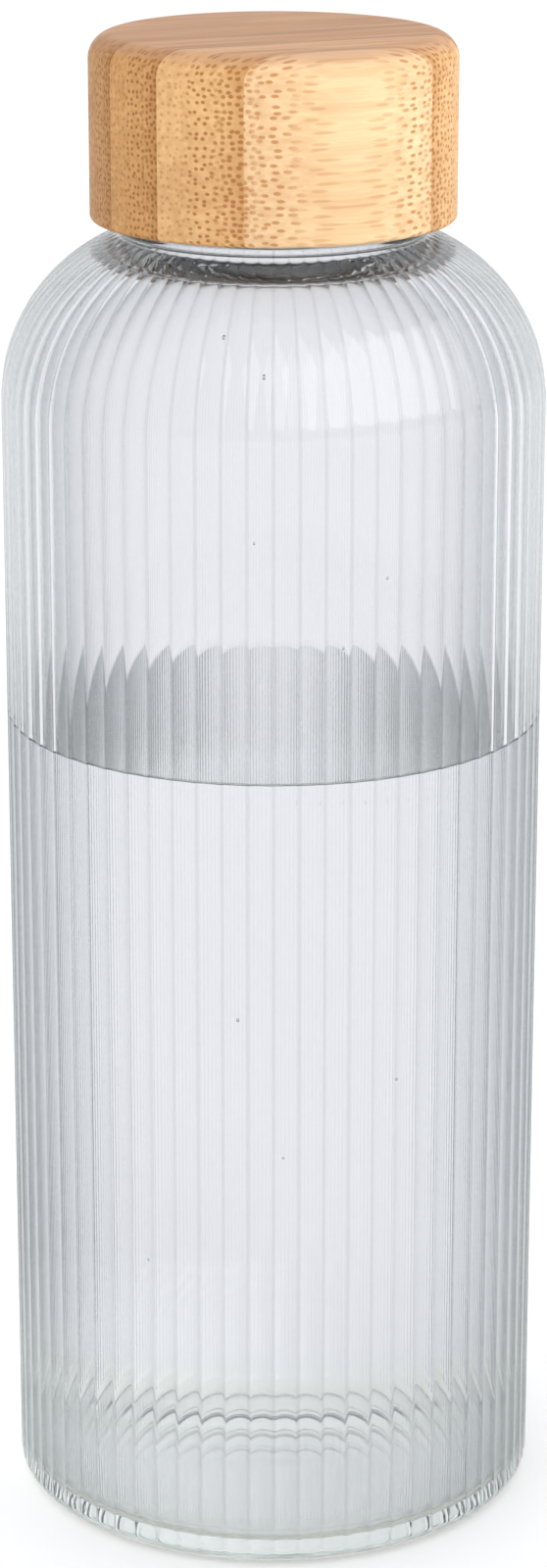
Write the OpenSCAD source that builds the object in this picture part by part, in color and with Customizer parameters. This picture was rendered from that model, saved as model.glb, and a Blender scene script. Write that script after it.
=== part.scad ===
// Fluted glass water bottle with a screw lid turned from laminated bamboo.
// Origin: centre of the foot, on the surface that the bottle stands on. +Z runs up the bottle.

/* [Overall] */
// Diameter of the glass body over the flute crests
body_d = 75; // [62:1:90]
// Height of the bottle with its lid on
total_h = 210; // [175:1:260]

/* [Glass] */
// Thickness of the side wall
wall = 2.2; // [1.8:0.1:3]
// Thickness of the floor at its edge
base_t = 2.8; // [2.6:0.1:8]
// Radius of the outer corner between side and foot
heel_r = 2.5; // [2:0.1:5]
// Radius of the inner corner between side and floor
inner_heel_r = 3; // [2:0.1:8]
// Width of the flat ring that the bottle stands on
foot_ring_w = 5; // [3:0.1:8]
// Height of the hollow under the foot
punt_h = 1.2; // [0.5:0.1:2]
// Radius of the round shoulder
shoulder_r = 24.4; // [20:0.1:26]
// Height of the root of the neck below the lid
neck_gap = 2; // [1.5:0.1:4]
// Height of the solid glass from the root of the neck down to the flat inside of the shoulder
root_t = 3.3; // [2.6:0.1:5]
// Thickness of the neck
neck_wall = 2.3; // [1.8:0.1:3]
// Height of the smooth ring at the root of the neck
neck_ring_h = 1.2; // [0.8:0.1:1.4]
// How far that ring stands out past the thread
neck_ring_out = 0.8; // [0.3:0.1:1]
// Rounding of the mouth's rim
rim_round = 0.8; // [0.3:0.1:1]

/* [Flutes] */
// Number of flutes around the body
flute_count = 68; // [24:1:72]
// Depth of a flute below the crests
flute_depth = 0.28; // [0.1:0.01:0.3]
// Radius of the hollow of a flute
flute_r = 5.4; // [4:0.1:5.4]

/* [Thread] */
// Number of separate threads that start at the mouth
thread_starts = 2; // [1:1:3]
// Height between one thread and the next
thread_pitch = 4; // [3.6:0.1:5]
// Height of a thread above the neck
thread_h = 1.2; // [0.8:0.1:1.4]
// Width of a thread at its root
thread_root_w = 2.2; // [1.8:0.1:2.4]
// Width of a thread at its crest
thread_crest_w = 1; // [0.6:0.1:1.4]
// Radial clearance between a crest and the wall it faces
thread_gap = 0.35; // [0.3:0.05:0.5]
// Height of the plain wall between the thread and the rim
thread_rim_gap = 3.5; // [3:0.1:5]
// Height of the plain wall between the lid's lower face and the thread
thread_skirt_gap = 2.5; // [2:0.1:4]

/* [Bamboo lid] */
// Diameter of the lid
lid_d = 50; // [41:1:60]
// Height of the lid
lid_h = 25; // [20:0.5:32]
// Thickness of the bamboo around the insert
bamboo_wall = 2.4; // [1.8:0.1:4]
// Thickness of the bamboo above the insert
bamboo_top = 5; // [4:0.1:7]
// Radius of the rounded top edge
lid_edge_r = 3.4; // [1:0.1:4]
// Radius of the rounded lower edge
lid_foot_r = 0.6; // [0.2:0.1:1]
// Width of one glued bamboo strip
strip_w = 9.125; // [7:0.125:12]
// Distance from the lid's axis to the nearest glue line
strip_shift = 2.75; // [0:0.25:4]
// Direction across the strips, turned from +X about +Z
strip_angle = -66; // [-180:1:180]

/* [Insert and seal] */
// Thickness of the insert's skirt
insert_wall = 1.45; // [1.2:0.05:2]
// Thickness of the insert's top
insert_top = 1.5; // [1:0.1:2.5]
// Height of the insert's lower edge above the lid's lower face
insert_recess = 0.5; // [0.2:0.1:2]
// Number of grip ribs around the insert
grip_count = 24; // [12:1:36]
// Width of a grip rib
grip_w = 1.2; // [0.8:0.1:2]
// Thickness of the glue around the insert
glue_side = 0.3; // [0.2:0.05:0.5]
// Thickness of the glue above the insert
glue_top = 0.5; // [0.3:0.1:1]
// Height of the ring of glue around the insert
glue_h = 12; // [6:0.5:15]
// Thickness of the sealing ring
seal_t = 1.9; // [1.5:0.1:3]
// How far the sealing ring reaches past both sides of the rim
seal_lap = 0.9; // [0.5:0.1:1]
// Clearance between the sealing ring and the faces it lies on
seal_gap = 0.05; // [0.02:0.01:0.1]
// Wall of the spigot that holds the sealing ring
spigot_wall = 1.4; // [1:0.1:2]
// How far the spigot reaches below the sealing ring
spigot_reach = 1.5; // [1:0.1:2.5]
// Radial clearance between the spigot and the sealing ring
spigot_gap = 0.2; // [0.1:0.05:0.3]
// Radius of the bead that keeps the sealing ring on the spigot
spigot_bead_r = 0.7; // [0.4:0.05:0.9]

/* [Clearances] */
// Gap between two glued or pressed pieces
joint_gap = 0.02; // [0.01:0.01:0.05]

/* [Hidden] */
smooth = 128;
round_fn = 64;
eps = 0.01;
past = 1;
steps_per_turn = 48;
body_r = body_d / 2;
lid_r = lid_d / 2;
lid_z = total_h - lid_h;
cavity_r = lid_r - bamboo_wall;
cavity_top_z = total_h - bamboo_top;
insert_r = cavity_r - glue_side;
insert_top_z = cavity_top_z - glue_top;
insert_bore_r = insert_r - insert_wall;
insert_z = lid_z + insert_recess;
ceiling_z = insert_top_z - insert_top;
seal_z = ceiling_z - seal_gap - seal_t;
rim_z = seal_z - seal_gap;
crest_r = insert_bore_r - thread_gap;
neck_r = crest_r - thread_h;
mouth_r = neck_r - neck_wall;
neck_ring_r = crest_r + neck_ring_out;
root_z = lid_z - neck_gap;
throat_z = root_z - root_t;
shoulder_c = body_r - shoulder_r;
shoulder_z = root_z - sqrt(shoulder_r * shoulder_r - pow(neck_ring_r - shoulder_c, 2));
inner_r = body_r - wall;
foot_inner_r = body_r - heel_r - foot_ring_w;
flute_z = 2 * heel_r;
punt_r = (foot_inner_r * foot_inner_r + punt_h * punt_h) / (2 * punt_h);
punt_fn = 720;
lead = thread_pitch * thread_starts;
thread_z = lid_z + thread_skirt_gap + thread_root_w / 2;
thread_turns = (rim_z - thread_rim_gap - thread_root_w / 2 - thread_z) / lead;
thread_sink = 0.4;
fade_steps = 8;
least_height = 0.1;
seal_inner_r = mouth_r - seal_lap;
seal_outer_r = neck_r + seal_lap;
spigot_r = seal_inner_r - spigot_gap;
spigot_z = seal_z - spigot_reach;
strip_bounds = [-lid_r, strip_shift - 2 * strip_w, strip_shift - strip_w, strip_shift,
                strip_shift + strip_w, strip_shift + 2 * strip_w, lid_r];
strip_count = 6;
glass_tint = [0.86, 0.87, 0.9, 0.45];
bamboo_tints = [[0.80, 0.60, 0.38], [0.86, 0.67, 0.44], [0.88, 0.70, 0.48],
                [0.93, 0.77, 0.56], [0.92, 0.76, 0.54], [0.87, 0.69, 0.46]];

// A ring of four points across a thread at one step; depth is negative on an inside thread.
function thread_ring(root_r, depth, turns, step, steps) =
    let (rise = max(least_height, min(1, step / fade_steps, (steps - step) / fade_steps)),
         angle = 360 * turns * step / steps,
         mid_z = lead * turns * step / steps,
         base_r = root_r - sign(depth) * thread_sink,
         tip_r = root_r + depth * rise,
         base_half = thread_root_w / 2,
         tip_half = (thread_root_w - (thread_root_w - thread_crest_w) * rise) / 2)
    [for (corner = [[base_r, -base_half], [tip_r, -tip_half], [tip_r, tip_half], [base_r, base_half]])
        [corner[0] * cos(angle), corner[0] * sin(angle), mid_z + corner[1]]];

// Triangles of the side between two rings, with the corners in one of two orders.
function thread_sides(steps, flip) =
    [for (step = [0:steps - 1]) for (side = [0:3])
        let (a = 4 * step + side, b = 4 * step + (side + 1) % 4, c = b + 4, d = a + 4)
        each (flip ? [[a, c, b], [a, d, c]] : [[a, b, c], [a, c, d]])];

// Helical threads at equal angles around the axis, starting at height 0.
module threads(root_r, depth, turns) {
    steps = ceil(steps_per_turn * turns);
    flip = depth < 0;
    first = [0, 1, 2, 3];
    last = [for (corner = [3:-1:0]) 4 * steps + corner];
    ends = flip ? [first, last] : [[3, 2, 1, 0], [for (corner = [0:3]) 4 * steps + corner]];
    for (start = [0:thread_starts - 1])
        rotate([0, 0, 360 * start / thread_starts])
            polyhedron(points = [for (step = [0:steps]) each thread_ring(root_r, depth, turns, step, steps)],
                       faces = concat(thread_sides(steps, flip), ends), convexity = 6);
}

// Half outline of the outside of the glass, without flutes and thread.
module glass_outside() {
    square([body_r - heel_r, shoulder_z]);
    translate([0, heel_r])
        square([body_r, shoulder_z - heel_r]);
    translate([body_r - heel_r, heel_r])
        circle(heel_r, $fn = round_fn);
    intersection() {
        translate([shoulder_c, shoulder_z])
            circle(shoulder_r, $fn = smooth);
        translate([0, shoulder_z - eps])
            square([body_r, shoulder_r]);
    }
    square([shoulder_c, shoulder_z + shoulder_r - wall]);
    square([neck_r, rim_z - rim_round]);
    square([neck_r - rim_round, rim_z]);
    translate([neck_r - rim_round, rim_z - rim_round])
        circle(rim_round, $fn = round_fn);
    square([neck_ring_r - neck_ring_h / 2, root_z + neck_ring_h]);
    translate([neck_ring_r - neck_ring_h / 2, root_z + neck_ring_h / 2])
        circle(neck_ring_h / 2, $fn = round_fn);
}

// Half outline of the space inside the glass.
module glass_inside() {
    translate([0, base_t])
        square([inner_r - inner_heel_r, shoulder_z - base_t]);
    translate([0, base_t + inner_heel_r])
        square([inner_r, shoulder_z - base_t - inner_heel_r]);
    translate([inner_r - inner_heel_r, base_t + inner_heel_r])
        circle(inner_heel_r, $fn = round_fn);
    intersection() {
        translate([shoulder_c, shoulder_z])
            circle(shoulder_r - wall, $fn = smooth);
        translate([0, shoulder_z - eps])
            square([inner_r, throat_z - shoulder_z + eps]);
    }
    translate([0, shoulder_z - eps])
        square([shoulder_c, throat_z - shoulder_z + eps]);
    translate([0, shoulder_z])
        square([mouth_r, rim_z - shoulder_z + past]);
}

// The flutes on the straight part of the body, as the band of rods that cuts them.
module flute_band() {
    translate([0, 0, flute_z])
        linear_extrude(height = shoulder_z - flute_z)
            for (flute = [0:flute_count - 1])
                rotate([0, 0, 360 * flute / flute_count])
                    translate([body_r - flute_depth + flute_r, 0])
                        circle(flute_r, $fn = smooth);
}

module glass_bottle() color(glass_tint) {
    difference() {
        rotate_extrude($fn = smooth)
            glass_outside();
        rotate_extrude($fn = smooth)
            glass_inside();
        rotate_extrude($fn = smooth)
            intersection() {
                translate([0, punt_h - punt_r])
                    circle(punt_r, $fn = punt_fn);
                translate([0, -past])
                    square([foot_inner_r + past, punt_h + 2 * past]);
            }
        flute_band();
    }
    translate([0, 0, thread_z])
        threads(neck_r, thread_h, thread_turns);
}

module seal_ring() color("whitesmoke")
    translate([0, 0, seal_z])
        rotate_extrude($fn = smooth)
            translate([seal_inner_r, 0])
                square([seal_outer_r - seal_inner_r, seal_t]);

// The outside of the insert with its grip ribs, which the glue fills around.
module insert_outside() {
    translate([0, 0, insert_z])
        cylinder(h = insert_top_z - insert_z, r = insert_r, $fn = smooth);
    intersection() {
        translate([0, 0, insert_z])
            cylinder(h = insert_top_z - insert_z, r = cavity_r - joint_gap, $fn = smooth);
        for (rib = [0:grip_count - 1])
            rotate([0, 0, 360 * rib / grip_count])
                translate([insert_r - glue_side, -grip_w / 2, insert_top_z - glue_h])
                    cube([2 * glue_side + past, grip_w, glue_h]);
    }
}

module threaded_insert() color("white") {
    difference() {
        insert_outside();
        translate([0, 0, insert_z - past])
            cylinder(h = ceiling_z - insert_z + past, r = insert_bore_r, $fn = smooth);
    }
    rotate_extrude($fn = smooth) {
        translate([spigot_r - spigot_wall, spigot_z])
            square([spigot_wall, ceiling_z - spigot_z + eps]);
        translate([spigot_r - spigot_bead_r / 2, spigot_z + spigot_reach / 2])
            circle(spigot_bead_r, $fn = round_fn);
    }
    // Turned by half the angle between two starts, so each thread runs in the other's groove.
    translate([0, 0, thread_z])
        rotate([0, 0, 180 / thread_starts])
            threads(insert_bore_r, -thread_h, thread_turns);
}

module glue_bed() color("wheat")
    difference() {
        translate([0, 0, insert_top_z - glue_h])
            cylinder(h = glue_h + glue_top - joint_gap, r = cavity_r - joint_gap, $fn = smooth);
        translate([0, 0, insert_top_z - glue_h - past])
            cylinder(h = glue_h + past + joint_gap, r = insert_r + joint_gap, $fn = smooth);
        for (rib = [0:grip_count - 1])
            rotate([0, 0, 360 * rib / grip_count])
                translate([insert_r - glue_side, -grip_w / 2 - joint_gap, insert_top_z - glue_h - past])
                    cube([2 * glue_side + past, grip_w + 2 * joint_gap, glue_h + past + joint_gap]);
    }

// The turned bamboo cap before it is divided into its strips.
module bamboo_cap()
    rotate_extrude($fn = smooth)
        difference() {
            union() {
                translate([0, lid_z + lid_foot_r])
                    square([lid_r, lid_h - lid_foot_r - lid_edge_r]);
                translate([0, lid_z])
                    square([lid_r - lid_foot_r, lid_h - lid_edge_r]);
                translate([0, lid_z + lid_foot_r])
                    square([lid_r - lid_edge_r, lid_h - lid_foot_r]);
                translate([lid_r - lid_edge_r, total_h - lid_edge_r])
                    circle(lid_edge_r, $fn = round_fn);
                translate([lid_r - lid_foot_r, lid_z + lid_foot_r])
                    circle(lid_foot_r, $fn = round_fn);
            }
            translate([0, lid_z - past])
                square([cavity_r, cavity_top_z - lid_z + past]);
        }

// One glued strip of the cap, counted from 1 along the direction across the strips.
module bamboo_strip(number) color(bamboo_tints[number - 1]) {
    low = strip_bounds[number - 1] - (number == 1 ? past : 0);
    high = strip_bounds[number] + (number == strip_count ? past : 0);
    intersection() {
        bamboo_cap();
        rotate([0, 0, strip_angle])
            translate([low, -lid_d, lid_z - past])
                cube([high - low, 2 * lid_d, lid_h + 2 * past]);
    }
}

glass_bottle();
seal_ring();
threaded_insert();
glue_bed();
bamboo_strip(1);  // bamboo_strip_1
bamboo_strip(2);  // bamboo_strip_2
bamboo_strip(3);  // bamboo_strip_3
bamboo_strip(4);  // bamboo_strip_4
bamboo_strip(5);  // bamboo_strip_5
bamboo_strip(6);  // bamboo_strip_6
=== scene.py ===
"""A fluted glass water bottle with water in it and a screw lid turned from laminated bamboo."""

import math

import bmesh
import bpy
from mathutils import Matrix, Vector


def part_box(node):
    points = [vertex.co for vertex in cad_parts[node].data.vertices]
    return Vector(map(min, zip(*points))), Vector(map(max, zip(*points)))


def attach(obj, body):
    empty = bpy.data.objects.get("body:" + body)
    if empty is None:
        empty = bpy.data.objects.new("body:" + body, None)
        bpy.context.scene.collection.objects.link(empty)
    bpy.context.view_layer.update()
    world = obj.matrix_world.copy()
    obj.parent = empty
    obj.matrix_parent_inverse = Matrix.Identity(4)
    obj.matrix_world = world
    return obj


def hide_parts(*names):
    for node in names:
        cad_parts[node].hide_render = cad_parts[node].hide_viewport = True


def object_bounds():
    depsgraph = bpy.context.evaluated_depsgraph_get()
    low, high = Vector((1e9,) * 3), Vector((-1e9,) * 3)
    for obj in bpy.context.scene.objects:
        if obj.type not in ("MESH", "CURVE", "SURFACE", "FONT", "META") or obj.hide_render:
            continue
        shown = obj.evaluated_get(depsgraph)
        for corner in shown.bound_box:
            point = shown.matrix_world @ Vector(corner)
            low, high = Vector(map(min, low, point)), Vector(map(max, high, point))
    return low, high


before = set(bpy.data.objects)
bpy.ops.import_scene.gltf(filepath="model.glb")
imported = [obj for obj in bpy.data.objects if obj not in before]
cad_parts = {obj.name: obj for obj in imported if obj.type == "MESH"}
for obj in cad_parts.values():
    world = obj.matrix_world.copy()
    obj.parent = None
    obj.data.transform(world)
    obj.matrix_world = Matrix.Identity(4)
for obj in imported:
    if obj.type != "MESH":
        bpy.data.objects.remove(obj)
cad_low, cad_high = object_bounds()
MM = 0.001
TINY = 0.001 * MM

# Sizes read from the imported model, in metres.
_, GLASS_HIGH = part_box("glass_bottle")
_, SEAL_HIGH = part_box("seal_ring")
STRIP_LOW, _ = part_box("bamboo_strip_3")
_, GLUE_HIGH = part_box("glue_bed")
BODY_R = GLASS_HIGH.x
RIM_Z = GLASS_HIGH.z
LID_Z = STRIP_LOW.z
LID_TOP_Z = cad_high.z

# Glass, as moulded. In the names R is a radius, W a width, H a height, T a thickness, Z a height
# above the floor, and C the distance of an arc's centre from the axis.
WALL = 2.2 * MM
BASE_T = 2.8 * MM
HEEL_R = 2.5 * MM
INNER_HEEL_R = 3 * MM
FOOT_RING_W = 5 * MM
PUNT_H = 1.2 * MM
SHOULDER_R = 24.4 * MM
NECK_WALL = 2.3 * MM
SEAL_LAP = 0.9 * MM
NECK_R = SEAL_HIGH.x - SEAL_LAP
MOUTH_R = NECK_R - NECK_WALL
NECK_GAP = 2 * MM
ROOT_Z = LID_Z - NECK_GAP
NECK_RING_H = 1.2 * MM
NECK_RING_OUT = 0.8 * MM
THREAD_H = 1.2 * MM
NECK_RING_R = NECK_R + THREAD_H + NECK_RING_OUT
# The shoulder runs a little way in under the ring, and a fillet joins the ring to the neck.
RING_LAP = 0.25 * MM
NECK_FILLET = 0.6 * MM
RIM_ROUND = 0.8 * MM
SHOULDER_C = BODY_R - SHOULDER_R
SHOULDER_Z = ROOT_Z - math.sqrt(SHOULDER_R ** 2 - (NECK_RING_R - SHOULDER_C) ** 2)
INNER_R = BODY_R - WALL
OUTER_SIDE_R = INNER_R + WALL / 2
OUTER_SHOULDER_R = SHOULDER_R - WALL / 2

# The inside of the shoulder stops at this angle above level, in degrees. From there a ledge that
# is nearly flat rises by THROAT_RISE to the mouth.
THROAT_ANGLE = 60
THROAT_RISE = 0.8 * MM
THROAT_FILLET = 2 * MM
LEDGE_EDGE_W = 1.5 * MM

# Thread on the neck.
THREAD_STARTS = 2
THREAD_PITCH = 4 * MM
THREAD_ROOT_W = 2.2 * MM
THREAD_CREST_W = 1.0 * MM
THREAD_SKIRT_GAP = 2.5 * MM
THREAD_RIM_GAP = 3.5 * MM
THREAD_LOW = LID_Z + THREAD_SKIRT_GAP + THREAD_ROOT_W / 2
THREAD_HIGH = RIM_Z - THREAD_RIM_GAP - THREAD_ROOT_W / 2
THREAD_FADE = math.radians(60)

# Flutes around the glass.
FLUTES = 68
FLUTE_DEPTH = 0.28 * MM
# Where the columns of the mesh stand within a flute, closest together at the crest.
FLUTE_COLUMNS = (0.0, 0.04, 0.08, 0.12, 0.24, 0.5, 0.76, 0.88, 0.92, 0.96)
# The crest between two flutes is a narrow land: this share of the depth is cut off, softly.
CREST_SHARE = 0.12
CREST_SOFTNESS = 0.08
# The flutes start between these heights, and end this far below the root of the neck.
FLUTE_START = (1.4 * MM, 3.0 * MM)
FLUTE_END = 0.5 * MM
# The share of their depth that the flutes would keep on the axis; on the side they have all of it.
FLUTE_LEAST = 0.4
# The outer skin of the glass, as depths below its surface, for the painted shade along the
# crests, which only shows outside.
SKIN = (1.2 * MM, 0.8 * MM)
# How far below the surface of the glass the bubbles lie.
SEED_DEPTH = 0.9 * MM
BUBBLE_STRETCH = 1.3

# The floor lies just under the foot, so that the two faces do not share a plane.
FLOOR_GAP = 0.05 * MM

# Water in the bottle.
WATER_Z = 114.8 * MM
# The water reaches a little way into the wall, so that no film of air lies between them.
WATER_LAP = 0.15 * MM
MENISCUS = 0.6 * MM

# Rings this close to a bend keep the smooth shading of the bend off the flat beside it.
SUPPORT = 0.3 * MM
# Edges between faces that turn by more than this are shaded as sharp.
SHARP_ANGLE = math.radians(35)

# Bamboo lid.
LID_R = 25 * MM
LID_EDGE_R = 3.4 * MM
LID_FOOT_R = 0.6 * MM
LID_COLUMNS = 288
CAVITY_GAP = 0.02 * MM
CAVITY_R = GLUE_HIGH.x + CAVITY_GAP
CAVITY_TOP_Z = GLUE_HIGH.z + CAVITY_GAP
STRIP_W = 9.125 * MM
STRIP_SHIFT = 2.75 * MM
STRIP_ANGLE = math.radians(-66)
STRIP_STARTS = [STRIP_SHIFT + k * STRIP_W for k in (-3, -2, -1, 0, 1, 2)]
STRIP_EDGES = [-LID_R - MM, *STRIP_STARTS[1:], LID_R + MM]
CUT_TOLERANCE = 1e-8
ACROSS = Vector((math.cos(STRIP_ANGLE), math.sin(STRIP_ANGLE), 0))


def shade(red, green, blue):
    """A linear colour from 8-bit display values."""
    linear = []
    for part in (red / 255, green / 255, blue / 255):
        linear.append(part / 12.92 if part <= 0.04045 else ((part + 0.055) / 1.055) ** 2.4)
    return (*linear, 1.0)


# ---------------------------------------------------------------- outlines

def arc(centre_r, centre_z, radius, start, end, steps):
    """Points of an arc in the half plane of radius and height; the angles are in degrees."""
    points = []
    for step in range(steps + 1):
        angle = math.radians(start + (end - start) * step / steps)
        points.append((centre_r + radius * math.cos(angle), centre_z + radius * math.sin(angle)))
    return points


def bend(start, corner, end, steps):
    """Points of a soft curve from start to end that is drawn towards corner, ends left out."""
    points = []
    for step in range(1, steps):
        t = step / steps
        weights = ((1 - t) ** 2, 2 * t * (1 - t), t ** 2)
        pulls = list(zip(weights, (start, corner, end)))
        points.append(tuple(sum(w * p[axis] for w, p in pulls) for axis in (0, 1)))
    return points


def line(start, end, steps):
    """Points of a straight line from start up to but not including end."""
    return [tuple(a + (b - a) * step / steps for a, b in zip(start, end)) for step in range(steps)]


def glass_outline():
    """The glass from the middle of its foot up the outside, over the rim and down the inside."""
    foot_inner = BODY_R - HEEL_R - FOOT_RING_W
    points = [(foot_inner * step / 6, PUNT_H * (1 - (step / 6) ** 2)) for step in range(6)]
    points += line((foot_inner, 0), (BODY_R - HEEL_R, 0), 2)
    points += arc(BODY_R - HEEL_R, HEEL_R, HEEL_R, -90, 0, 14)
    side_top = (BODY_R, SHOULDER_Z - SUPPORT)
    points += [*line((BODY_R, 2 * HEEL_R), side_top, 4), side_top]
    end = math.degrees(math.acos((NECK_RING_R - RING_LAP - SHOULDER_C) / SHOULDER_R))
    points += arc(SHOULDER_C, SHOULDER_Z, SHOULDER_R, 0, end, 34)
    ring_r = NECK_RING_H / 2
    points += arc(NECK_RING_R - ring_r, ROOT_Z + ring_r, ring_r, -50, 90, 8)
    neck_foot = (NECK_R, ROOT_Z + NECK_RING_H + NECK_FILLET)
    points += bend(points[-1], (NECK_R, ROOT_Z + NECK_RING_H), neck_foot, 4)
    points += line(neck_foot, (NECK_R, RIM_Z - RIM_ROUND), 48)
    points += arc(NECK_R - RIM_ROUND, RIM_Z - RIM_ROUND, RIM_ROUND, 0, 90, 6)
    points += arc(MOUTH_R + RIM_ROUND, RIM_Z - RIM_ROUND, RIM_ROUND, 90, 180, 6)
    # The glass is thickest at the root of the neck, where its inside is nearly flat.
    inner_arc = arc(SHOULDER_C, SHOULDER_Z, SHOULDER_R - WALL, THROAT_ANGLE, 0, 24)
    ledge_foot = inner_arc[0]
    throat = (MOUTH_R, ledge_foot[1] + THROAT_RISE)
    throat_top = (MOUTH_R, throat[1] + THROAT_FILLET)
    ledge = (MOUTH_R + LEDGE_EDGE_W, throat[1] - 0.1 * THROAT_RISE)
    ledge_bend = (ledge_foot[0] - LEDGE_EDGE_W, ledge_foot[1] + 0.4 * THROAT_RISE)
    points += [throat_top, *bend(throat_top, throat, ledge, 5)]
    points += [ledge, *bend(ledge, ledge_bend, ledge_foot, 6)]
    points += inner_arc
    heel_c, heel_z = INNER_R - INNER_HEEL_R, BASE_T + INNER_HEEL_R
    points += [(INNER_R, SHOULDER_Z - SUPPORT), (INNER_R, heel_z + SUPPORT)]
    points += arc(heel_c, heel_z, INNER_HEEL_R, 0, -90, 12)
    points += line((heel_c - SUPPORT, BASE_T), (0, BASE_T), 6)
    return [*points, (0, BASE_T)]


def water_outline():
    """The water from the middle of the floor up the wall, with a meniscus, back to the middle."""
    wall_r = INNER_R + WATER_LAP
    floor_z = BASE_T - WATER_LAP
    heel_c, heel_z = wall_r - INNER_HEEL_R, floor_z + INNER_HEEL_R
    floor_edge = (heel_c - SUPPORT, floor_z)
    points = [*line((0, floor_z), floor_edge, 4), floor_edge]
    points += arc(heel_c, heel_z, INNER_HEEL_R, -90, 0, 12)
    wall_top = (wall_r, WATER_Z + MENISCUS)
    points += [*line((wall_r, heel_z + SUPPORT), wall_top, 6), wall_top]
    edge = (INNER_R - 2 * MENISCUS, WATER_Z)
    points += bend(wall_top, (wall_r, WATER_Z), edge, 8)
    flat = (edge[0] - SUPPORT, WATER_Z)
    return [*points, edge, *line(flat, (0, WATER_Z), 4), (0, WATER_Z)]


def cap_outline():
    """The turned bamboo cap from the middle of its hollow's ceiling to the middle of its top."""
    points = line((0, CAVITY_TOP_Z), (CAVITY_R, CAVITY_TOP_Z), 2)
    points += line((CAVITY_R, CAVITY_TOP_Z), (CAVITY_R, LID_Z), 2)
    points += [(CAVITY_R, LID_Z)]
    points += arc(LID_R - LID_FOOT_R, LID_Z + LID_FOOT_R, LID_FOOT_R, -90, 0, 5)
    points += arc(LID_R - LID_EDGE_R, LID_TOP_Z - LID_EDGE_R, LID_EDGE_R, 0, 90, 14)
    return [*points, (LID_R / 2, LID_TOP_Z), (0, LID_TOP_Z)]


# ---------------------------------------------------------------- meshes

def link(name, mesh):
    """A mesh as an object in the scene."""
    piece = bpy.data.objects.new(name, mesh)
    bpy.context.scene.collection.objects.link(piece)
    return piece


def even_turns(columns):
    """Angles of the columns of a plain ring."""
    return [2 * math.pi * column / columns for column in range(columns)]


def fluted_turns():
    """Angles of the columns of a fluted ring."""
    return [2 * math.pi * (flute + part) / FLUTES
            for flute in range(FLUTES) for part in FLUTE_COLUMNS]


def lathe(name, outline, turns, plain_from=None):
    """A closed turned body from an outline that starts and ends on the axis.

    From ring number plain_from on, the rings have half as many columns, evenly spaced.
    """
    corners, rings = [], []
    for index, (radius, height) in enumerate(outline):
        if radius <= 0:
            ring = [0.0]
        elif plain_from is not None and index >= plain_from:
            ring = even_turns(len(turns) // 2)
        else:
            ring = turns
        rings.append((len(corners), len(ring)))
        corners += [(radius * math.cos(turn), radius * math.sin(turn), height) for turn in ring]
    faces = []
    for (low, low_count), (high, high_count) in zip(rings, rings[1:]):
        if low_count == 2 * high_count:
            for column in range(high_count):
                first = low + 2 * column
                past = low + (2 * column + 2) % low_count
                right = high + (column + 1) % high_count
                faces.append([first, first + 1, high + column])
                faces.append([first + 1, past, right, high + column])
            continue
        count = max(low_count, high_count)
        for column in range(count):
            following = (column + 1) % count
            face = [low + column % low_count, low + following % low_count,
                    high + following % high_count, high + column % high_count]
            faces.append(list(dict.fromkeys(face)))
    mesh = bpy.data.meshes.new(name)
    mesh.from_pydata(corners, [], faces)
    mesh.polygons.foreach_set("use_smooth", [True] * len(faces))
    return link(name, mesh)


def soft_step(low, high, value):
    """0 at low, 1 at high and smooth between; low may be the larger one."""
    t = min(1, max(0, (value - low) / (high - low)))
    return t * t * (3 - 2 * t)


def thread_height(angle, height):
    """How far the thread stands out of the neck at an angle about the axis and a height."""
    lead = THREAD_PITCH * THREAD_STARTS
    whole = 2 * math.pi * (THREAD_HIGH - THREAD_LOW) / lead
    best = 0
    for start in range(THREAD_STARTS):
        along = (angle - 2 * math.pi * start / THREAD_STARTS) % (2 * math.pi)
        while along <= whole:
            off = abs(height - THREAD_LOW - lead * along / (2 * math.pi))
            slope = (THREAD_ROOT_W - THREAD_CREST_W) / 2
            tooth = min(1, max(0, (THREAD_ROOT_W / 2 - off) / slope))
            run_out = min(1, along / THREAD_FADE, (whole - along) / THREAD_FADE)
            best = max(best, THREAD_H * min(tooth, run_out))
            along += 2 * math.pi
    return best


def raise_thread(mesh):
    """Moves the neck's outer wall out where the thread runs."""
    for corner in mesh.vertices:
        x, y, z = corner.co
        radius = math.hypot(x, y)
        on_neck = abs(radius - NECK_R) < TINY and ROOT_Z < z < RIM_Z
        if on_neck:
            scale = (radius + thread_height(math.atan2(y, x), z)) / radius
            corner.co = (x * scale, y * scale, z)


def mark_flutes(mesh):
    """Stores the flutes' depth at each corner: full on the side, less towards the neck."""
    share = mesh.attributes.new("flute_share", "FLOAT", "POINT")
    for index, corner in enumerate(mesh.vertices):
        x, y, z = corner.co
        radius = math.hypot(x, y)
        from_shoulder = math.hypot(radius - SHOULDER_C, z - SHOULDER_Z)
        on_shoulder = SHOULDER_Z < z < ROOT_Z and from_shoulder > OUTER_SHOULDER_R
        if radius > OUTER_SIDE_R or on_shoulder:
            fade = soft_step(*FLUTE_START, z) * soft_step(ROOT_Z, ROOT_Z - FLUTE_END, z)
            by_radius = FLUTE_LEAST + (1 - FLUTE_LEAST) * radius / BODY_R
            share.data[index].value = fade * by_radius


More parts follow.
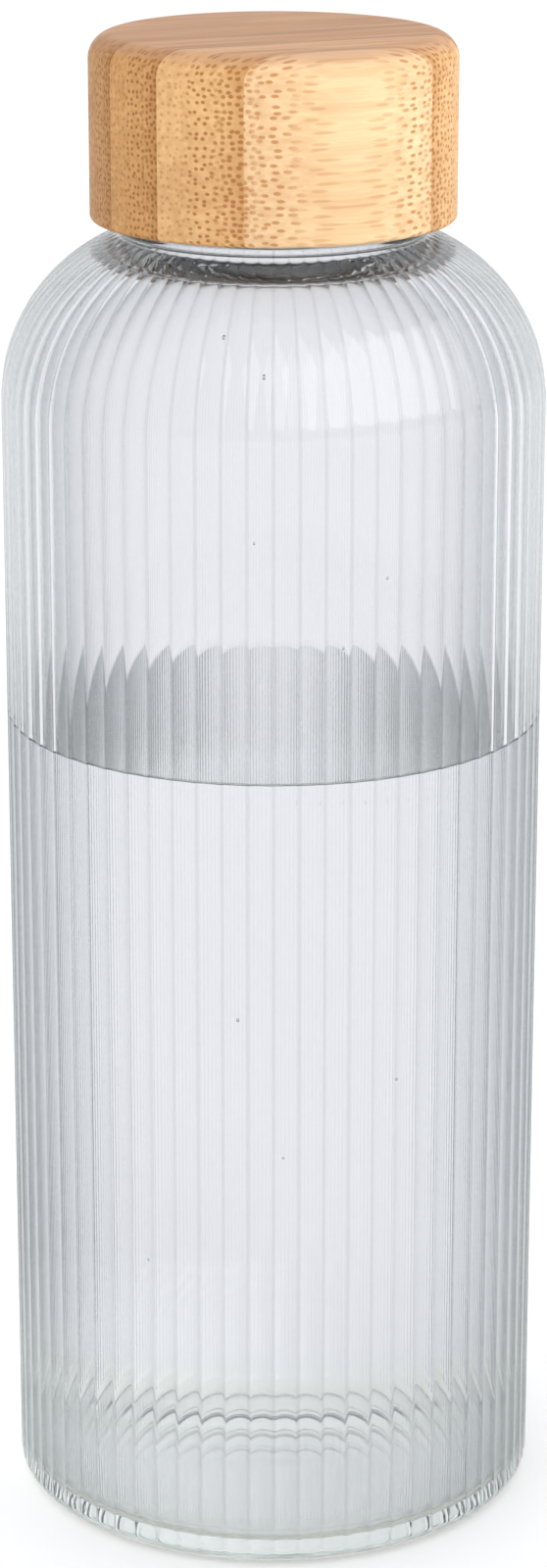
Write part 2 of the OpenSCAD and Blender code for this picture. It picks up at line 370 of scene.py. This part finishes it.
# Small bubbles in the glass: angle about the axis in degrees, height and diameter in millimetres.
SEEDS = [(-101.5, 174.5, 0.55), (-92, 170, 0.6), (-146, 176, 0.45), (-94, 148.5, 0.4),
         (-66, 143, 0.4), (-75.5, 134, 0.45), (-97.5, 82, 0.5), (-88, 62, 0.35),
         (-63, 72, 0.3), (-118, 45, 0.35), (38, 150, 0.5), (75, 96, 0.5),
         (120, 128, 0.4), (160, 60, 0.5), (12, 40, 0.4)]


def add_seed_points(mesh):
    """Adds a loose corner inside the wall for each bubble, with the bubble's size."""
    first = len(mesh.vertices)
    mesh.vertices.add(len(SEEDS))
    size = mesh.attributes.new("seed_size", "FLOAT", "POINT")
    for index, (angle, height, diameter) in enumerate(SEEDS):
        z = height * MM
        rise = max(0, z - SHOULDER_Z) / SHOULDER_R
        radius = SHOULDER_C + SHOULDER_R * math.sqrt(1 - rise * rise) - SEED_DEPTH
        turn = math.radians(angle)
        mesh.vertices[first + index].co = (radius * math.cos(turn), radius * math.sin(turn), z)
        size.data[first + index].value = diameter * MM


# ---------------------------------------------------------------- geometry trees

class Tree:
    """Short calls for building a node tree."""

    def __init__(self, tree):
        self.tree = tree

    def node(self, kind, settings=None, **inputs):
        """Adds a node; settings are its properties, and inputs are values or sockets by name."""
        made = self.tree.nodes.new(kind)
        for name, value in (settings or {}).items():
            setattr(made, name, value)
        for name, value in inputs.items():
            self.feed(made, name.replace("_", " "), value)
        return made

    def feed(self, made, name, value):
        """Links or sets an input, which is given by name or by number."""
        if isinstance(name, int):
            socket = made.inputs[name]
        else:
            socket = next(s for s in made.inputs if s.name == name and s.enabled)
        if isinstance(value, bpy.types.NodeSocket):
            self.tree.links.new(value, socket)
        else:
            socket.default_value = value

    def math(self, operation, first, second=0.0, third=0.0):
        made = self.node("ShaderNodeMath", {"operation": operation})
        for index, value in enumerate((first, second, third)):
            self.feed(made, index, value)
        return made.outputs[0]

    def ramp(self, value, low, high, to_low=0.0, to_high=1.0):
        """value mapped smoothly from low..high to to_low..to_high, held at both ends."""
        made = self.node("ShaderNodeMapRange", {"interpolation_type": "SMOOTHSTEP"},
                         Value=value, From_Min=low, From_Max=high, To_Min=to_low, To_Max=to_high)
        return made.outputs[0]

    def mixed(self, first, second, share):
        """A number that goes from first to second as share goes from 0 to 1."""
        kept = self.math("MULTIPLY", first, self.math("SUBTRACT", 1.0, share))
        return self.math("ADD", kept, self.math("MULTIPLY", second, share))

    def length(self, first, second):
        """The length of a vector with two parts."""
        squares = [self.math("MULTIPLY", part, part) for part in (first, second)]
        return self.math("SQRT", self.math("ADD", *squares))


def new_group(name, kind, inputs, outputs):
    """A node group with its input and output sockets; returns its calls, input and output nodes."""
    group = bpy.data.node_groups.new(name, kind)
    for direction, sockets in (("INPUT", inputs), ("OUTPUT", outputs)):
        for label, socket_kind in sockets:
            group.interface.new_socket(label, in_out=direction, socket_type=socket_kind)
    tree = Tree(group)
    return tree, tree.node("NodeGroupInput").outputs, tree.node("NodeGroupOutput")


def flute_tree():
    """Presses hollow flutes round a turned body and blows its marked points up into bubbles."""
    tree, given, result = new_group(
        "Flutes and bubbles", "GeometryNodeTree",
        [("Geometry", "NodeSocketGeometry"), ("Flute count", "NodeSocketInt"),
         ("Flute depth", "NodeSocketFloat"), ("Bubble stretch", "NodeSocketFloat"),
         ("Glass", "NodeSocketMaterial")],
        [("Geometry", "NodeSocketGeometry")])

    def stored(name):
        made = tree.node("GeometryNodeInputNamedAttribute", {"data_type": "FLOAT"}, Name=name)
        return made.outputs["Attribute"]

    seed_size = stored("seed_size")
    is_seed = tree.node("FunctionNodeCompare", {"data_type": "FLOAT", "operation": "GREATER_THAN"})
    tree.feed(is_seed, 0, seed_size)
    tree.feed(is_seed, 1, 0.0)
    parts = tree.node("GeometryNodeSeparateGeometry", {"domain": "POINT"},
                      Geometry=given["Geometry"], Selection=is_seed.outputs[0])

    position = tree.node("GeometryNodeInputPosition").outputs[0]
    place = tree.node("ShaderNodeSeparateXYZ", Vector=position)
    turn = tree.math("ARCTAN2", place.outputs["Y"], place.outputs["X"])
    cycles = tree.math("MULTIPLY", tree.math("DIVIDE", turn, 2 * math.pi), given["Flute count"])
    within = tree.math("FRACT", tree.math("ADD", cycles, 1e-4))
    # 0 at the crests beside a flute and 1 in its middle.
    bowl = tree.math("MULTIPLY", within, tree.math("SUBTRACT", 1.0, within))
    bowl = tree.math("MULTIPLY", bowl, 4.0)
    hollow = tree.math("SMOOTH_MAX", bowl, CREST_SHARE, CREST_SOFTNESS)
    hollow = tree.math("DIVIDE", tree.math("SUBTRACT", hollow, CREST_SHARE), 1.0 - CREST_SHARE)
    share = stored("flute_share")
    depth = tree.math("MULTIPLY", tree.math("MULTIPLY", hollow, share), given["Flute depth"])
    inward = tree.node("ShaderNodeVectorMath", {"operation": "SCALE"},
                       Vector=tree.node("GeometryNodeInputNormal").outputs["Normal"],
                       Scale=tree.math("MULTIPLY", depth, -1.0))
    pressed = tree.node("GeometryNodeSetPosition", Geometry=parts.outputs["Inverted"],
                        Offset=inward.outputs[0])

    ball = tree.node("GeometryNodeMeshIcoSphere", Radius=0.5, Subdivisions=2)
    # A bubble is a hollow in the glass, so its faces point into it.
    hollow_ball = tree.node("GeometryNodeFlipFaces", Mesh=ball.outputs["Mesh"])
    tall = tree.node("ShaderNodeCombineXYZ", X=seed_size, Y=seed_size,
                     Z=tree.math("MULTIPLY", seed_size, given["Bubble stretch"]))
    bubbles = tree.node("GeometryNodeInstanceOnPoints", Points=parts.outputs["Selection"],
                        Instance=hollow_ball.outputs[0], Scale=tall.outputs[0])
    solid = tree.node("GeometryNodeRealizeInstances", Geometry=bubbles.outputs[0])
    joined = tree.node("GeometryNodeJoinGeometry")
    tree.feed(joined, "Geometry", solid.outputs[0])
    tree.feed(joined, "Geometry", pressed.outputs[0])
    smooth = tree.node("GeometryNodeSetShadeSmooth", Geometry=joined.outputs[0])
    coated = tree.node("GeometryNodeSetMaterial", Geometry=smooth.outputs[0],
                       Material=given["Glass"])
    tree.feed(result, "Geometry", coated.outputs[0])
    return tree.tree


def grow(piece, group, values):
    """Runs a geometry tree on a piece with the given inputs and keeps the plain mesh it makes."""
    modifier = piece.modifiers.new(group.name, "NODES")
    modifier.node_group = group
    for socket in group.interface.items_tree:
        if socket.in_out == "INPUT" and socket.name in values:
            modifier[socket.identifier] = values[socket.name]
    evaluated = piece.evaluated_get(bpy.context.evaluated_depsgraph_get())
    mesh = bpy.data.meshes.new_from_object(evaluated)
    piece.modifiers.remove(modifier)
    piece.data = mesh
    mesh.name = piece.name


# ---------------------------------------------------------------- materials

def new_material(name):
    """A material with its tree's calls and its Principled shader."""
    material = bpy.data.materials.new(name)
    material.use_nodes = True
    tree = Tree(material.node_tree)
    return material, tree, material.node_tree.nodes["Principled BSDF"]


def place_of(tree):
    """The point in the object's own space, in metres."""
    return tree.node("ShaderNodeTexCoord").outputs["Object"]


def noise(tree, vector, scale, detail=3.0, rough=0.5):
    """Soft noise around a half, with scale in cells per metre where vector is in metres."""
    made = tree.node("ShaderNodeTexNoise", Vector=vector, Scale=scale, Detail=detail,
                     Roughness=rough)
    return made.outputs["Fac"]


def patchy(tree, shader, varied, low, high):
    """Lets the shader's roughness vary from low to high with a noise."""
    tree.feed(shader, "Roughness", tree.ramp(varied, 0.3, 0.7, low, high))


def blend(tree, factor, first, second, mode="MIX"):
    """A colour between two, or another mode of mixing them."""
    made = tree.node("ShaderNodeMix", {"data_type": "RGBA", "blend_type": mode})
    tree.feed(made, 0, factor)
    for name, value in (("A", first), ("B", second)):
        socket = [s for s in made.inputs if s.name == name and s.type == "RGBA"][0]
        if isinstance(value, bpy.types.NodeSocket):
            tree.tree.links.new(value, socket)
        else:
            socket.default_value = value
    return [s for s in made.outputs if s.type == "RGBA"][0]


def bump(tree, height, distance, strength):
    made = tree.node("ShaderNodeBump", Height=height, Distance=distance, Strength=strength)
    return made.outputs["Normal"]


def crest_line(tree, place):
    """1 on the crests between the flutes outside the glass, falling to 0 beside them; it places
    the painted shade lines along the crests.
    """
    split = tree.node("ShaderNodeSeparateXYZ", Vector=place)
    x, y, z = split.outputs["X"], split.outputs["Y"], split.outputs["Z"]
    cycles = tree.math("MULTIPLY", tree.math("ARCTAN2", y, x), FLUTES / (2 * math.pi))
    within = tree.math("FRACT", tree.math("ADD", cycles, 0.5))
    beside = tree.math("ABSOLUTE", tree.math("SUBTRACT", within, 0.5))
    out = tree.math("SUBTRACT", tree.length(x, y), SHOULDER_C)
    above = tree.math("MAXIMUM", tree.math("SUBTRACT", z, SHOULDER_Z), 0.0)
    deep, shallow = SKIN
    outside = tree.ramp(tree.length(out, above), SHOULDER_R - deep, SHOULDER_R - shallow)
    return tree.math("MULTIPLY", tree.ramp(beside, 0.03, 0.11, 1.0, 0.0), outside)


def clear_glass():
    """Pale soda-lime glass, darker where it is seen edge on, a little for its longer path through
    it and mostly as painted shade, with painted shade along the crests of the flutes, a little
    greener low down where it is thick, and with faint moulding waves."""
    material, tree, shader = new_material("clear glass")
    place = place_of(tree)
    height = tree.node("ShaderNodeSeparateXYZ", Vector=place).outputs["Z"]
    side, patch, foot = shade(239, 239, 241), shade(236, 236, 238), shade(238, 241, 234)
    # The first tone is painted shade for glass seen edge on, the second painted shade for the lines
    # along the flute crests.
    edge, painted_crest_shade = shade(176, 182, 182), shade(196, 197, 202)
    tone = blend(tree, noise(tree, place, 40.0, 2.0), side, patch)
    facing = tree.node("ShaderNodeLayerWeight", Blend=0.5).outputs["Facing"]
    # Painted shade: the glass seen edge on is darkened, a little for its longer path through it and
    # mostly as painted shade.
    tone = blend(tree, tree.ramp(facing, 0.12, 0.75), tone, edge)
    # Painted shade: dark lines along the crests of the flutes.
    tone = blend(tree, tree.math("MULTIPLY", crest_line(tree, place), 0.55), tone, painted_crest_shade)
    low = tree.ramp(height, 0.0, 9 * MM, 1.0, 0.0)
    tree.feed(shader, "Base Color", blend(tree, low, tone, foot))
    patchy(tree, shader, noise(tree, place, 90.0), 0.0, 0.012)
    waves = tree.node("ShaderNodeMapping", Vector=place, Scale=(1.0, 1.0, 0.25)).outputs[0]
    tree.feed(shader, "Normal", bump(tree, noise(tree, waves, 160.0, 2.0), 0.02 * MM, 0.6))
    shader.inputs["IOR"].default_value = 1.5
    shader.inputs["Transmission Weight"].default_value = 1.0
    return material


def clear_water():
    """Water, with the faintest ripple."""
    material, tree, shader = new_material("water")
    place = place_of(tree)
    tone = blend(tree, noise(tree, place, 30.0), shade(250, 252, 252), shade(253, 254, 255))
    tree.feed(shader, "Base Color", tone)
    patchy(tree, shader, noise(tree, place, 60.0), 0.0, 0.004)
    tree.feed(shader, "Normal", bump(tree, noise(tree, place, 60.0, 1.0), 0.01 * MM, 0.3))
    shader.inputs["IOR"].default_value = 1.333
    shader.inputs["Transmission Weight"].default_value = 1.0
    return material


def bamboo_group():
    """Bamboo in cross-section and along its fibres: bundles crowd towards the strip's rind."""
    tree, given, result = new_group(
        "Bamboo", "ShaderNodeTree",
        [("Strip start", "NodeSocketFloat"), ("Rind at start", "NodeSocketFloat"),
         ("Ground", "NodeSocketColor"), ("Bundle", "NodeSocketColor"),
         ("Shift", "NodeSocketFloat")],
        [("Color", "NodeSocketColor"), ("Roughness", "NodeSocketFloat"),
         ("Height", "NodeSocketFloat")])
    turned = tree.node("ShaderNodeMapping", Vector=place_of(tree),
                       Rotation=(0.0, 0.0, -STRIP_ANGLE)).outputs[0]
    split = tree.node("ShaderNodeSeparateXYZ", Vector=turned)
    across, along, up = split.outputs["X"], split.outputs["Y"], split.outputs["Z"]

    def drawn_out(round_scale, long_scale):
        """The place for a noise that is stretched along the fibres."""
        return tree.node("ShaderNodeCombineXYZ", X=tree.math("MULTIPLY", across, round_scale),
                         Y=tree.math("MULTIPLY", along, long_scale),
                         Z=tree.math("MULTIPLY", up, round_scale)).outputs[0]

    # Fibres wander a little from straight.
    slow = drawn_out(60.0, 25.0)
    wander = tree.node("ShaderNodeTexNoise", Vector=slow, Scale=1.0, Detail=2.0)
    drift = tree.node("ShaderNodeVectorMath", {"operation": "SUBTRACT"},
                      Vector=wander.outputs["Color"])
    tree.feed(drift, 1, (0.5, 0.5, 0.5))
    drift = tree.node("ShaderNodeSeparateXYZ", Vector=drift.outputs[0])
    across = tree.math("ADD", across, tree.math("MULTIPLY", drift.outputs["X"], 1.2 * MM))
    up = tree.math("ADD", up, tree.math("MULTIPLY", drift.outputs["Z"], 1.6 * MM))
    depth = tree.math("DIVIDE", tree.math("SUBTRACT", across, given["Strip start"]), STRIP_W)
    # A strip laid the other way round has its dense side, the rind, at its start.
    other = tree.math("SUBTRACT", 0.92, tree.math("MULTIPLY", depth, 1.6))
    depth = tree.mixed(depth, other, given["Rind at start"])

    def bundles(cell_across, cell_up, size, offset):
        """Dark spots of fibre bundles with the given spacing; size is their share of a cell."""
        shifted = tree.math("ADD", tree.math("DIVIDE", across, cell_across),
                            tree.math("ADD", given["Shift"], offset))
        grid = tree.node("ShaderNodeCombineXYZ", X=shifted, Y=tree.math("DIVIDE", up, cell_up))
        cells = tree.node("ShaderNodeTexVoronoi", {"voronoi_dimensions": "2D", "feature": "F1"},
                          Vector=grid.outputs[0], Scale=1.0, Randomness=0.6)
        return tree.ramp(cells.outputs["Distance"], size * 0.72, size * 1.25, 1.0, 0.0)

    # The bundles get smaller, closer and darker from the pith side of a strip to its rind.
    sparse = tree.math("MULTIPLY", bundles(1.0 * MM, 1.05 * MM, 0.21, 0.0), 0.45)
    middle = bundles(0.86 * MM, 0.95 * MM, 0.25, 5.0)
    dense = bundles(0.68 * MM, 0.82 * MM, 0.32, 9.0)
    spots = tree.mixed(sparse, middle, tree.ramp(depth, 0.25, 0.55))
    spots = tree.mixed(spots, dense, tree.ramp(depth, 0.62, 0.92))

    fibre = noise(tree, drawn_out(1100.0, 28.0), 1.0, 4.0, 0.6)
    patches = noise(tree, slow, 1.6, 2.0)
    ground = blend(tree, tree.ramp(fibre, 0.32, 0.68, 0.0, 0.30), given["Ground"], given["Bundle"])
    ground = blend(tree, tree.ramp(patches, 0.35, 0.7, 0.0, 0.22), ground, given["Bundle"])
    edge = tree.math("MULTIPLY", tree.ramp(depth, 0.80, 1.0), 0.38)
    ground = blend(tree, edge, ground, given["Bundle"])
    colour = blend(tree, tree.math("MULTIPLY", spots, 0.85), ground, given["Bundle"])
    # The top, cut along the fibres, is pinker than the sides; it is also duller and darker, which
    # is painted shade for the lesser light that falls on it.
    top_grain_and_shade = tree.ramp(up, LID_TOP_Z - 2.2 * MM, LID_TOP_Z - 0.1 * MM, 0.0, 0.8)
    colour = blend(tree, top_grain_and_shade, colour, shade(226, 212, 212), "MULTIPLY")
    colour = blend(tree, tree.math("MULTIPLY", top_grain_and_shade, 0.45), colour, shade(196, 158, 128))
    tree.feed(result, "Color", colour)
    patchy(tree, result, fibre, 0.42, 0.58)
    relief = tree.math("SUBTRACT", tree.math("MULTIPLY", fibre, 0.5),
                       tree.math("MULTIPLY", spots, 0.6))
    tree.feed(result, "Height", relief)
    return tree.tree


def bamboo(name, group, start, flipped, ground, bundle, shift):
    """One glued strip's bamboo; strips differ in tone and in where their bundles lie."""
    material, tree, shader = new_material(name)
    pattern = tree.node("ShaderNodeGroup", {"node_tree": group}, Strip_start=start,
                        Rind_at_start=flipped, Ground=ground, Bundle=bundle, Shift=shift)
    tree.feed(shader, "Base Color", pattern.outputs["Color"])
    tree.feed(shader, "Roughness", pattern.outputs["Roughness"])
    tree.feed(shader, "Normal", bump(tree, pattern.outputs["Height"], 0.05 * MM, 0.5))
    shader.inputs["Specular IOR Level"].default_value = 0.14
    return material


def moulded_plastic():
    """Natural white polypropylene with a fine satin moulding grain."""
    material, tree, shader = new_material("white polypropylene")
    place = place_of(tree)
    grain = noise(tree, place, 2500.0, 2.0)
    tone = blend(tree, noise(tree, place, 120.0), shade(250, 249, 246), shade(247, 246, 243))
    tree.feed(shader, "Base Color", tone)
    patchy(tree, shader, grain, 0.32, 0.48)
    tree.feed(shader, "Normal", bump(tree, grain, 0.02 * MM, 0.4))
    shader.inputs["Subsurface Weight"].default_value = 0.15
    shader.inputs["Subsurface Radius"].default_value = (1.0, 1.0, 1.0)
    shader.inputs["Subsurface Scale"].default_value = 0.6 * MM
    return material


def silicone():
    """Milky silicone rubber."""
    material, tree, shader = new_material("silicone")
    place = place_of(tree)
    tone = blend(tree, noise(tree, place, 300.0), shade(224, 225, 222), shade(210, 212, 210))
    tree.feed(shader, "Base Color", tone)
    patchy(tree, shader, noise(tree, place, 900.0), 0.5, 0.65)
    tree.feed(shader, "Normal", bump(tree, noise(tree, place, 1500.0), 0.02 * MM, 0.4))
    shader.inputs["Subsurface Weight"].default_value = 0.3
    shader.inputs["Subsurface Scale"].default_value = 0.8 * MM
    return material


def cured_glue():
    """Amber wood glue with trapped bubbles."""
    material, tree, shader = new_material("cured glue")
    place = place_of(tree)
    cells = tree.node("ShaderNodeTexVoronoi", Vector=place, Scale=700.0).outputs["Distance"]
    tone = blend(tree, noise(tree, place, 200.0), shade(214, 186, 132), shade(190, 150, 92))
    tree.feed(shader, "Base Color", tone)
    tree.feed(shader, "Roughness", tree.ramp(cells, 0.0, 0.6, 0.2, 0.45))
    tree.feed(shader, "Normal", bump(tree, cells, 0.05 * MM, 0.5))
    return material


# ---------------------------------------------------------------- pieces

def make_glass(material):
    """The bottle itself: turned wall, screw thread, pressed flutes and a few bubbles."""
    outline = glass_outline()
    ring_z = ROOT_Z + NECK_RING_H / 2
    neck_start = next(k for k, point in enumerate(outline) if point[1] >= ring_z)
    piece = lathe("glass_body", outline, fluted_turns(), neck_start)
    mark_flutes(piece.data)
    raise_thread(piece.data)
    add_seed_points(piece.data)
    grow(piece, flute_tree(), {"Flute count": FLUTES, "Flute depth": FLUTE_DEPTH,
                               "Bubble stretch": BUBBLE_STRETCH, "Glass": material})
    # Glass and water let the light through, where a plain shadow would be black.
    piece.visible_shadow = False
    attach(piece, "bottle")
    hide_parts("glass_bottle")


def make_water(material):
    """The water, whose edge is sharp so that its wall is shaded as upright right up to the top."""
    piece = lathe("water", water_outline(), even_turns(4 * FLUTES))
    piece.data.set_sharp_from_angle(angle=SHARP_ANGLE)
    piece.data.materials.append(material)
    piece.visible_shadow = False
    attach(piece, "bottle")


def cut_strip(piece, low, high):
    """Keeps the part of the cap between two planes across the strips, and closes the cuts."""
    bm = bmesh.new()
    bm.from_mesh(piece.data)
    for distance, side in ((low, -1), (high, 1)):
        if abs(distance) > LID_R:
            continue
        whole = bm.verts[:] + bm.edges[:] + bm.faces[:]
        cut = bmesh.ops.bisect_plane(bm, geom=whole, dist=CUT_TOLERANCE,
                                     plane_co=ACROSS * distance, plane_no=ACROSS * side,
                                     clear_outer=True)["geom_cut"]
        rim = [e for e in cut if isinstance(e, bmesh.types.BMEdge)]
        made = bmesh.ops.holes_fill(bm, edges=rim, sides=0)["faces"]
        bmesh.ops.triangulate(bm, faces=made, ngon_method="EAR_CLIP")
    bmesh.ops.recalc_face_normals(bm, faces=bm.faces[:])
    bm.to_mesh(piece.data)
    bm.free()
    piece.data.polygons.foreach_set("use_smooth", [True] * len(piece.data.polygons))
    piece.data.set_sharp_from_angle(angle=SHARP_ANGLE)


# Ground and bundle tones of the strips, in the order of their names.
STRIP_TONES = [((208, 160, 106), (148, 96, 52)), ((212, 166, 112), (152, 100, 56)),
               ((200, 149, 94), (140, 90, 46)), ((211, 161, 103), (146, 92, 46)),
               ((231, 186, 131), (160, 104, 54)), ((238, 206, 162), (184, 128, 76))]
# Moves each strip's bundles away from its neighbour's pattern.
STRIP_PATTERN_SHIFT = 3.7
STRIP_WITH_RIND_AT_START = 5


def make_lid():
    """The six glued strips of the turned cap."""
    group = bamboo_group()
    for index, (ground, bundle) in enumerate(STRIP_TONES):
        low, high = STRIP_EDGES[index:index + 2]
        piece = lathe(f"bamboo_strip_{index + 1}_turned", cap_outline(), even_turns(LID_COLUMNS))
        cut_strip(piece, low, high)
        flipped = 1.0 if index == STRIP_WITH_RIND_AT_START else 0.0
        material = bamboo(f"bamboo {index + 1}", group, STRIP_STARTS[index], flipped,
                          shade(*ground), shade(*bundle), STRIP_PATTERN_SHIFT * index)
        piece.data.materials.append(material)
        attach(piece, "lid")
        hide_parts(f"bamboo_strip_{index + 1}")


def dress(node, material):
    """Gives a CAD node its material."""
    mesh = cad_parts[node].data
    mesh.materials.clear()
    mesh.materials.append(material)


# ---------------------------------------------------------------- studio

def make_floor():
    """A pale floor that curves up far behind the bottle into a plain backdrop."""
    width, front, back, rise, curve = 8.0, -2.5, 2.6, 3.5, 1.2
    outline = [(front, 0.0), *arc(back, curve, curve, -90, 0, 24), (back + curve, rise)]
    corners = [(side * width / 2, y, z - FLOOR_GAP) for y, z in outline for side in (-1, 1)]
    faces = [(2 * k, 2 * k + 1, 2 * k + 3, 2 * k + 2) for k in range(len(outline) - 1)]
    mesh = bpy.data.meshes.new("floor")
    mesh.from_pydata(corners, [], faces)
    mesh.polygons.foreach_set("use_smooth", [True] * len(faces))
    floor = link("floor", mesh)
    material, tree, shader = new_material("pale paper")
    mottle = noise(tree, place_of(tree), 3.0)
    tree.feed(shader, "Base Color", blend(tree, mottle, shade(251, 251, 251), shade(253, 253, 253)))
    tree.feed(shader, "Roughness", 0.9)
    mesh.materials.append(material)


def make_lamp():
    """A large soft lamp to the front right, aimed at the middle of the bottle."""
    place, target = Vector((1.75, -1.6, 1.5)), Vector((0, 0, 0.12))
    lamp = bpy.data.lights.new("key", "AREA")
    lamp.shape = "RECTANGLE"
    lamp.size, lamp.size_y = 4.4, 2.6
    lamp.energy = 50
    lamp.color = (1.0, 0.99, 0.97)
    holder = bpy.data.objects.new("key", lamp)
    holder.location = place
    holder.rotation_euler = (target - place).to_track_quat("-Z", "Y").to_euler()
    holder.visible_camera = False
    bpy.context.scene.collection.objects.link(holder)


def make_studio():
    """Even light from all round, the lamp, and enough bounces for thick glass."""
    world = bpy.data.worlds.new("studio")
    world.use_nodes = True
    background = world.node_tree.nodes["Background"]
    background.inputs["Color"].default_value = (0.97, 0.98, 1.0, 1.0)
    background.inputs["Strength"].default_value = 1.0
    make_lamp()
    scene = bpy.context.scene
    scene.world = world
    scene.view_settings.view_transform = "Standard"
    # Light runs a long way inside the glass before it gets out.
    scene.cycles.transmission_bounces = 32
    scene.cycles.glossy_bounces = 32
    scene.cycles.diffuse_bounces = 10
    scene.cycles.max_bounces = 32


def make_camera():
    """Looks a little down on the bottle, from close enough for the lid to look large."""
    tilt_down = 17.55
    camera = bpy.data.cameras.new("camera")
    camera.sensor_width = 36
    camera.lens = 95.9
    holder = bpy.data.objects.new("camera", camera)
    holder.location = (0.0, -565.5 * MM, 282.8 * MM)
    holder.rotation_euler = (math.radians(90 - tilt_down), 0, 0)
    bpy.context.scene.collection.objects.link(holder)
    bpy.context.scene.camera = holder


make_camera()
make_studio()
make_floor()
make_glass(clear_glass())
make_water(clear_water())
make_lid()
dress("threaded_insert", moulded_plastic())
dress("seal_ring", silicone())
dress("glue_bed", cured_glue())
